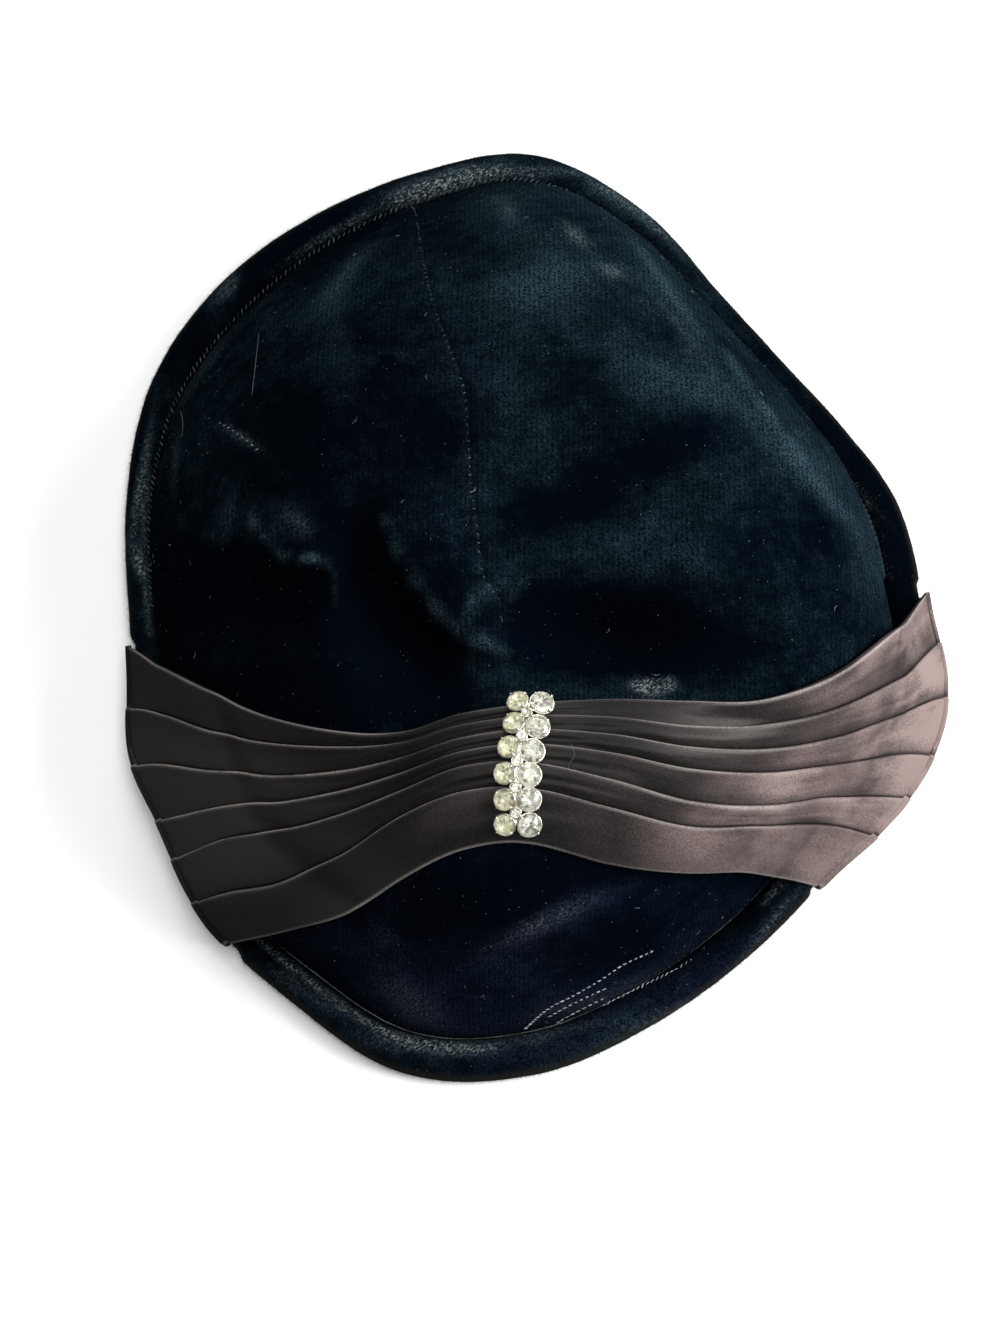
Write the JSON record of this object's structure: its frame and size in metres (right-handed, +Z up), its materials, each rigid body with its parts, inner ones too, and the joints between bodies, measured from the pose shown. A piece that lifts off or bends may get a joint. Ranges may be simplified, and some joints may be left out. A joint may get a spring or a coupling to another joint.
{
  "type": "cocktail hat",
  "caption": "Soft velvet hat with a rolled edge and a sunken, folded crown, crossed by a pleated satin band pinched by a rhinestone clasp.",
  "frame": {"origin": "on the resting plane, under the middle of the hat's outline", "axes": "+Z up from the resting plane, +Y towards the back of the hat, so the band and clasp face -Y, +X to the right of someone who looks at the front"},
  "size_m": [0.1827, 0.2135, 0.074],
  "materials": {
    "velvet": "crushed silk-pile velvet",
    "roll_velvet": "velvet on a padded roll",
    "satin": "pleated satin",
    "clasp_metal": "dulled white plating",
    "rhinestone": "foiled paste, slightly yellowed"
  },
  "bodies": {
    "root": {"crown": "velvet", "edge_roll": "roll_velvet", "satin_band": "satin", "clasp_setting": "clasp_metal", "stone_large_1": "rhinestone", "stone_large_2": "rhinestone", "stone_large_3": "rhinestone", "stone_large_4": "rhinestone", "stone_large_5": "rhinestone", "stone_large_6": "rhinestone", "stone_small_1": "rhinestone", "stone_small_2": "rhinestone", "stone_small_3": "rhinestone", "stone_small_4": "rhinestone", "stone_small_5": "rhinestone", "stone_small_6": "rhinestone", "stone_accent_1": "rhinestone", "stone_accent_2": "rhinestone", "stone_accent_3": "rhinestone", "stone_accent_4": "rhinestone", "stone_accent_5": "rhinestone"}
  },
  "joints": []
}
